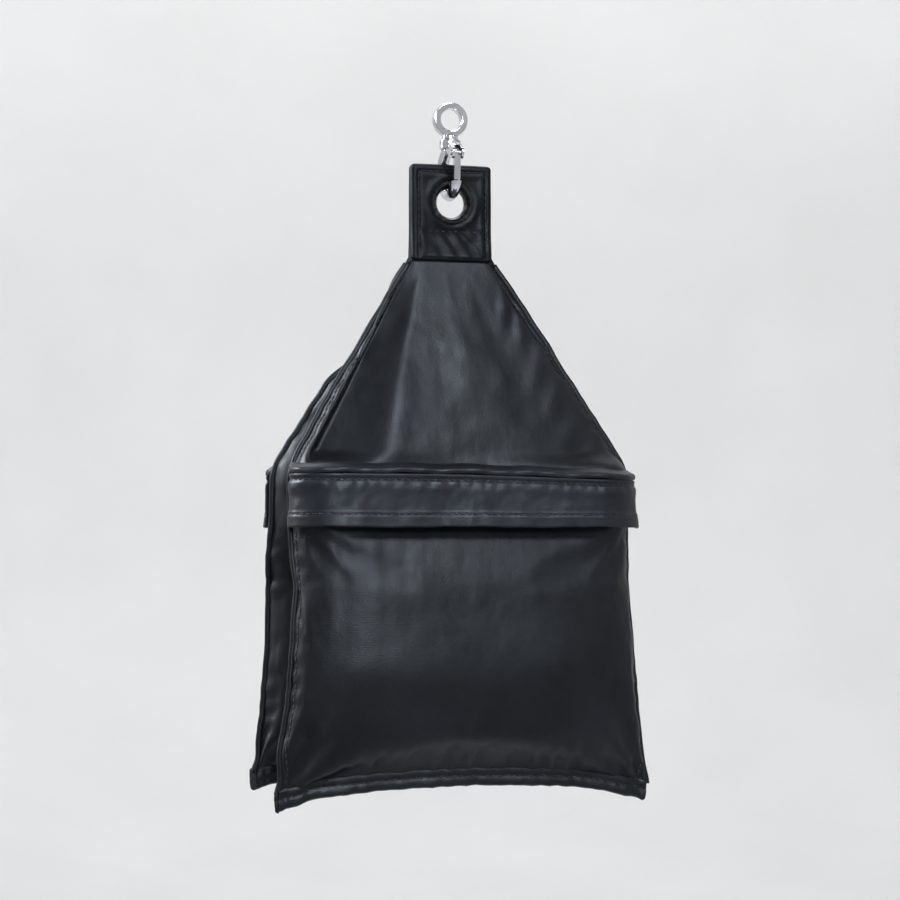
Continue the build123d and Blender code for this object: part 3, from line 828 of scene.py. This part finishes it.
def build_flap(side, sign, seed):
    """The flap: stitched along its top, a folded hem at its bottom, and ends that curve back."""
    share, line, normal, _ = band_path(201)
    fall = np.linspace(FLAP_TOP - 0.1 * MM, FLAP_BOTTOM, 44)
    p, z = np.meshgrid(share, fall)
    arc = p * 101 * MM
    down = (FLAP_TOP - z) / (FLAP_TOP - FLAP_BOTTOM)
    out = FLARE * down * (1 - 0.9 * np.abs(p) ** 3) - 0.75 * MM * bump(z, TOP_STITCHES, 0.9 * MM)
    out += 0.35 * MM * bump(z, FLAP_TOP - 6.5 * MM, 3.0 * MM)
    pucker = np.sin(arc / MM * 0.83 + 2 * np.sin(arc / MM * 0.11))
    out += 0.16 * MM * pucker * bump(z, FLAP_TOP - 4.4 * MM, 2 * MM)
    out += 0.5 * MM * smooth_step(-z, -(FLAP_BOTTOM + 7.6 * MM), -(FLAP_BOTTOM + 6.6 * MM))
    out -= 0.5 * MM * bump(z, HEM_STITCHES, 0.7 * MM)
    places = np.stack([arc, np.zeros_like(arc), z], 2)
    out += (0.6 * MM * field(places, 0.020, seed + 20) + 0.3 * MM * field(places, 0.009, seed + 30)) \
        * smooth_step(down, 0.1, 0.35)
    out += 0.5 * MM * np.sin(p * 7.5 + seed) * down**2
    low = z + (0.25 * MM * np.sin(p * 9 + 2 * seed) + 0.1 * MM * np.sin(p * 31)) * down**3
    low += sag(p, side) * (1 - down) ** 1.5
    x = line[None, :, 0] + normal[None, :, 0] * out
    d = line[None, :, 1] + normal[None, :, 1] * out
    grid = np.stack([x, -d, low], 2)
    obj = shell(f"{side}_flap_cloth", turned(grid, sign), CLOTH)
    flap = finish_piece(obj, f"{side}_flap", FABRIC_FLAP_PAINTED_LIGHT, "coated_fabric", f"{side}_flap")
    n = normals_of(grid)

    def row_line(at):
        line = np.array([[np.interp(-at, -fall, grid[:, c, k]) for k in range(3)]
                         for c in range(grid.shape[1])])
        normal = n[int(np.argmin(np.abs(fall - at)))]
        return (line + normal * 0.15 * MM)[3:-3], normal[3:-3]

    runs = [row_line(TOP_STITCHES), row_line(HEM_STITCHES)]
    stitches = stitched(f"{side}_flap_stitches", runs, sign, f"{side}_flap")
    for piece in (flap, stitches):                  # each gets a mesh of its own
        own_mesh(piece)


# -------------------- zip, liner and sand

TAPE_OUT = -tape_low.y


def build_zip(side, sign):
    """Two woven tapes with a bead along the coil, and the coil's interlocking turns."""
    half = f"{side}_half"
    for node in ("zip_tape_upper", "zip_tape_lower"):
        low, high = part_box(f"front_{node}")
        span = np.linspace(low.x, high.x, 120)
        across = np.linspace(high.z, low.z, 26)
        x, z = np.meshgrid(span, across)
        from_coil = np.abs(z - ZIP_Z) - (coil_high.z - ZIP_Z)
        out = TAPE_OUT - 0.1 * MM + 0.12 * MM * np.cos(from_coil / MM * 2 * math.pi / 1.1)
        out += 0.25 * MM * bump(from_coil, 0.5 * MM, 0.5 * MM)
        grid = np.stack([x, -out, z], 2)
        obj = shell(f"{side}_{node}_cloth", turned(grid, sign), 0.8 * MM)
        finish_piece(obj, half, TAPE, "zip_tape", f"{side}_{node}")
    low, high = coil_low, coil_high
    parts = []
    pitch, tall = 1.15 * MM, (high.z - low.z) / 2
    middle = -(low.y + high.y) / 2
    for i, x in enumerate(np.arange(low.x + pitch / 2, high.x, pitch)):
        way = 1 if i % 2 else -1
        s = np.linspace(-1, 1, 9)
        path = np.stack([x + way * 0.10 * MM * s, -(middle + 0.42 * MM * np.cos(s * 1.5)),
                         ZIP_Z + way * 0.25 * MM + tall * 0.86 * s], 1)
        parts.append(tube(*flat_line(path), 0.42 * MM, 0.46 * MM, sides=6))
    for way in (-1, 1):                              # the cords that the coil is sewn over
        line = np.linspace(low.x, high.x, 60)
        path = np.stack([line, np.full(60, -middle), np.full(60, ZIP_Z + way * tall * 0.5)], 1)
        parts.append(tube(*flat_line(path), 0.3 * MM, 0.4 * MM, sides=6))
    points, faces = joined(parts)
    coil = make_object(f"{side}_zip_coil_turns", turned(points, sign), faces)
    finish_piece(coil, half, COIL, "zip_coil", f"{side}_zip_coil")


def closed_bag(grid, inset):
    """Points and faces of a closed surface inside the ring grid."""
    ring = grid - normals_of(grid, closed=True) * inset
    rows, cols = ring.shape[:2]
    points = list(ring.reshape(-1, 3)) + [ring[0].mean(0), ring[-1].mean(0)]
    faces = quads(rows, cols, closed=True)
    top, low, last_row = rows * cols, rows * cols + 1, (rows - 1) * cols
    for c in range(cols):
        d = (c + 1) % cols
        faces += [(c, d, top), (last_row + d, last_row + c, low)]
    return points, faces


def build_fill(side, sign, heights, grid):
    """The liner, a thin closed bag, and the sand in it."""
    liner_low, liner_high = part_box("front_sand_liner")
    rows = [r for r in range(0, len(heights), 3) if liner_low.z + 4 * MM < heights[r] < liner_high.z]
    ring = grid[rows][:, ::2]
    for _ in range(6):
        ring = softened(ring)
    outer, faces = closed_bag(ring, 2.4 * MM)
    inner, inner_faces = closed_bag(ring, 2.8 * MM)
    inner_faces = [tuple(reversed(f)) for f in inner_faces]
    points, faces = joined([(outer, faces), (inner, inner_faces)])
    liner = make_object(f"{side}_liner_bag", turned(points, sign), faces)
    finish_piece(liner, f"{side}_half", FILM, "liner_film", f"{side}_sand_liner")
    points, faces = closed_bag(ring, 3.4 * MM)
    sand = make_object(f"{side}_sand_mass", turned(points, sign), faces)
    finish_piece(sand, f"{side}_half", SAND, "sand", f"{side}_sand_fill")


# -------------------- neck

def neck_surface(half_width, high, low, depth, hole, detail):
    """A flat strap as one closed surface with a round hole for the eyelet.  It is laid out in
    rings, from the hole out over the front, round the edge and back over the rear."""
    count = 200
    corner = 3.0 * MM
    outline = []
    side, up, down = half_width - corner, high - corner, low + 0.5 * corner
    for cx, cz, a0 in ((side, up, 0), (-side, up, 90), (-side, down, 180), (side, down, 270)):
        tall = corner if a0 < 180 else 0.5 * corner
        for a in np.radians(np.linspace(a0, a0 + 90, 10)):
            outline.append((cx + corner * math.cos(a), cz + tall * math.sin(a)))
    outline = np.array(outline + outline[:1])
    length = distances(outline)
    at = np.linspace(0, length[-1], count, endpoint=False)
    border = np.stack([np.interp(at, length, outline[:, k]) for k in (0, 1)], 1)
    centre = np.array([EYELET.x, EYELET.z])
    angle = np.arctan2(border[:, 1] - centre[1], border[:, 0] - centre[0])
    hole_ring = centre + hole * np.stack([np.cos(angle), np.sin(angle)], 1)
    share = np.linspace(0, 1, 34)
    face = hole_ring[None] * (1 - share[:, None, None]) + border[None] * share[:, None, None]
    inward = np.minimum(half_width - np.abs(face[..., 0]), high - face[..., 1])
    inward = np.minimum(inward, (face[..., 1] - low) * 2.5 + 1.2 * MM)
    round_off = np.sqrt(1 - (1 - np.clip(inward / (2.6 * MM), 0, 1)) ** 2)
    rings = []
    for way in (-1, 1):
        y = depth * (0.45 + 0.55 * round_off)
        if detail:
            y = y + neck_detail(face[..., 0], face[..., 1], inward, way)
        rings.append(np.stack([face[..., 0], way * y, face[..., 1]], 2))
    front_face, back_face = rings
    edge = []
    out = unit(border - centre)
    for t in (0.2, 0.4, 0.6, 0.8):
        middle = front_face[-1] * (1 - t) + back_face[-1] * t
        puff = 0.45 * MM * math.sin(math.pi * t)
        middle[:, 0] += out[:, 0] * puff
        middle[:, 2] += np.maximum(out[:, 1], 0) * puff
        edge.append(middle)
    wall = [back_face[0] * (1 - t) + front_face[0] * t for t in (0.25, 0.5, 0.75)]
    return np.concatenate([front_face, np.array(edge), back_face[::-1], np.array(wall)])


def neck_detail(x, z, inward, way):
    """Relief on the neck's cover: its folded hem, stitch lines, puffs and slanting creases."""
    lift = 0.5 * MM * bump(np.hypot(x - EYELET.x, z - EYELET.z), 13.2 * MM, 1.6 * MM)
    lift -= 0.5 * MM * bump(inward, 3.6 * MM, 0.7 * MM)
    lift += 0.3 * MM * bump(inward, 6.0 * MM, 1.6 * MM)
    low = smooth_step(-z, 0.052, 0.062)
    slant = (x + z) / MM / math.sqrt(2)
    waver = 1.2 * np.sin(x / MM * 0.17) + 0.8 * np.sin(z / MM * 0.23)
    lift += 0.34 * MM * np.sin(slant * 2 * math.pi / 7.4 + waver) * low * smooth_step(inward, 0, 6 * MM)
    places = np.stack([x, np.full_like(x, way * 4 * MM), z], -1)
    lift += 0.4 * MM * field(places, 0.012, 40 + way) * smooth_step(inward, 0, 4 * MM)
    lift += 1.2 * MM * smooth_step(-z, 0.056, 0.073) - 0.3 * MM * (1 - smooth_step(-z, 0.030, 0.040))
    return lift


def ring_faces(loop, flip=False):
    rows, cols = loop.shape[:2]
    closed = np.concatenate([loop, loop[:1]])
    faces = [tuple(i % (rows * cols) for i in f) for f in quads(rows + 1, cols, closed=True)]
    return [tuple(reversed(f)) for f in faces] if flip else faces


def build_neck():
    half = neck_high.x
    thick = neck_high.y
    outer = neck_surface(half, neck_high.z, NECK_BASE, thick, 9.9 * MM, True)
    inner = neck_surface(half - 1.7 * MM, neck_high.z - 1.7 * MM, NECK_BASE + 0.2 * MM,
                         thick - 1.5 * MM, 11.4 * MM, False)
    points, faces = joined([(outer.reshape(-1, 3), ring_faces(outer)),
                            (inner.reshape(-1, 3), ring_faces(inner, flip=True))])
    cover = make_object("neck_strap_cover", points, faces)
    finish_piece(cover, "neck", FABRIC_NECK_PAINTED_SHADE, "coated_fabric", "neck_cover")
    core = neck_surface(half - 3.2 * MM, neck_high.z - 2.6 * MM, NECK_BASE + 1 * MM,
                        thick - 2.2 * MM, 11.6 * MM, False)
    web = make_object("neck_strap_webbing", core.reshape(-1, 3), ring_faces(core))
    finish_piece(web, "neck", WEBBING, "webbing", "neck_core")

    # stitches: down both sides and under the fold, then a box over the joint with the halves
    runs = []
    for way in (-1, 1):
        inset = 3.6 * MM
        x_in, z_top = half - inset, neck_high.z - inset
        rise = 1.2 * MM
        loops = [[(-x_in, NECK_BASE + 2.5 * MM), (-x_in, z_top)], [(-x_in, z_top), (x_in, z_top)],
                 [(x_in, z_top), (x_in, NECK_BASE + 2.5 * MM)],
                 [(-x_in, NECK_BASE + 2.4 * MM), (x_in, NECK_BASE + 2.4 * MM)],
                 [(-x_in, NECK_BASE + 15 * MM), (x_in, NECK_BASE + 15 * MM)]]
        for (x0, z0), (x1, z1) in loops:
            x, z = np.linspace(x0, x1, 30), np.linspace(z0, z1, 30)
            inward = np.full(30, inset)
            y = thick + neck_detail(x, z, inward, way) + 0.1 * MM
            line = np.stack([x, way * y, z], 1)
            runs.append((line, np.tile([0.0, float(way), 0.0], (30, 1))))
    points, faces = joined([thread_run(line, normal) for line, normal in runs])
    stitches = make_object("neck_stitches", points, faces)
    finish_piece(stitches, "neck", THREAD, "coated_fabric")


# -------------------- making everything

heights0, ring0 = ring_grid()
swollen = swell(heights0, ring0)

for seed, (side, sign) in enumerate(SIDES, start=1):
    heights, grid, last, edge = dressed(heights0, swollen, seed)
    build_shell(side, sign, heights, grid, last, edge)
    build_hem(side, sign, grid, last, seed)
    build_header(side, sign, seed)
    build_flap(side, sign, seed)
    build_zip(side, sign)
    build_fill(side, sign, heights, grid)
build_neck()

CAD_FINISH = {
    "swivel_eye": CHROME, "swivel_washer": CHROME, "hook_body": CHROME, "gate": CHROME,
    "gate_pin": CHROME, "gate_spring": STEEL, "eyelet": BLACK_METAL, "eyelet_washer": BLACK_METAL,
    **{f"{side}_{node}": BLACK_METAL for side, _ in SIDES
       for node in ("zip_stops", "zip_slider", "zip_pull")},
}
for name, material in CAD_FINISH.items():
    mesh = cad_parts[name].data
    mesh.materials.clear()
    mesh.materials.append(material)

# -------------------- camera, lights, floor

AZIMUTH, ELEVATION = math.radians(-17), math.radians(-2)
DISTANCE, LENS = 1.28, 100
toward_camera = Vector((math.sin(AZIMUTH) * math.cos(ELEVATION),
                        -math.cos(AZIMUTH) * math.cos(ELEVATION), math.sin(ELEVATION)))
centre = (cad_box[0] + cad_box[1]) / 2
camera_data = bpy.data.cameras.new("camera")
camera_data.lens = LENS
camera = bpy.data.objects.new("camera", camera_data)
camera.location = centre + toward_camera * DISTANCE
camera.rotation_euler = toward_camera.to_track_quat("Z", "Y").to_euler()
bpy.context.scene.collection.objects.link(camera)
bpy.context.scene.camera = camera

COOL = (0.92, 0.95, 1.0)                 # the colour of the studio lights and the sky
SKY_STRENGTH = 0.28


def area_light(name, place, away, size, power, spread=180, colour=(1, 1, 1)):
    """A rectangle of light at a place, facing against the direction away."""
    data = bpy.data.lights.new(name, "AREA")
    data.shape = "RECTANGLE"
    data.size, data.size_y = size
    data.energy = power
    data.spread = math.radians(spread)
    data.color = colour
    light = bpy.data.objects.new(name, data)
    light.location = place
    light.rotation_euler = away.to_track_quat("Z", "Y").to_euler()
    bpy.context.scene.collection.objects.link(light)


# name, place from the bag's centre, size, power and spread
for name, offset, size, power, spread in (
        ("key", (0.12, -1.55, 1.36), (0.95, 0.65), 3.0, 38),
        ("low_left", (-0.34, -1.95, 0.55), (0.45, 0.45), 1.3, 38),
        ("left_strip", (-1.35, 0.75, 0.85), (0.5, 0.9), 7.0, 60),
        ("top_back", (0.3, 1.3, 2.0), (1.4, 1.0), 2.5, 70)):
    area_light(name, centre + Vector(offset), Vector(offset), size, power, spread, COOL)

# a round pale floor that sweeps up into a high wall, the same from every side; metres
FLOOR_Z, INNER_R, FLAT_R, WALL_R, WALL_TOP = -0.85, 1.5, 3.0, 4.2, 4.5
SWEEP = WALL_R - FLAT_R
profile = [(INNER_R, FLOOR_Z), (FLAT_R, FLOOR_Z)]            # radius and height
profile += [(FLAT_R + SWEEP * math.sin(a), FLOOR_Z + SWEEP * (1 - math.cos(a)))
            for a in np.linspace(0.1, math.pi / 2, 14)]
profile.append((WALL_R, WALL_TOP))
TURNS = 96
round_angles = [2 * math.pi * i / TURNS for i in range(TURNS)]
dish = [[(r * math.cos(a), r * math.sin(a), z) for a in round_angles] for r, z in profile]
faces = quads(len(dish), TURNS, closed=True) + [tuple(range(TURNS))]
floor = make_object("floor", dish, faces)
paper, nodes, links, shader, where = new_material("pale_floor")
tone = add_noise(nodes, links, where, 3.0, 3.0)
links.new(add_ramp(nodes, links, tone, [(0.3, grey(0.72)), (0.7, grey(0.76))]),
          shader.inputs["Base Color"])
shader.inputs["Roughness"].default_value = 0.9
floor.data.materials.append(paper)

# lights on the wall all round, their powers from behind the bag round by its right
WALL_POWERS = (48, 27, 22, 13, 13, 27)
FIRST_ANGLE = math.radians(12)
LIGHT_R, LIGHT_Z, AIM_R, AIM_Z = 2.3, 2.4, 4.1, 0.2
for turn, power in enumerate(WALL_POWERS):
    angle = 2 * math.pi * turn / len(WALL_POWERS) + FIRST_ANGLE
    way = Vector((math.sin(angle), math.cos(angle), 0))
    place, aim = way * LIGHT_R + Vector((0, 0, LIGHT_Z)), way * AIM_R + Vector((0, 0, AIM_Z))
    area_light(f"wall_{turn}", place, place - aim, (3.0, 0.5), power)

world = bpy.data.worlds.new("studio")
bpy.context.scene.world = world
world.use_nodes = True
sky = world.node_tree.nodes["Background"].inputs
sky["Color"].default_value = (*COOL, 1)
sky["Strength"].default_value = SKY_STRENGTH
bpy.context.scene.view_settings.view_transform = "Standard"
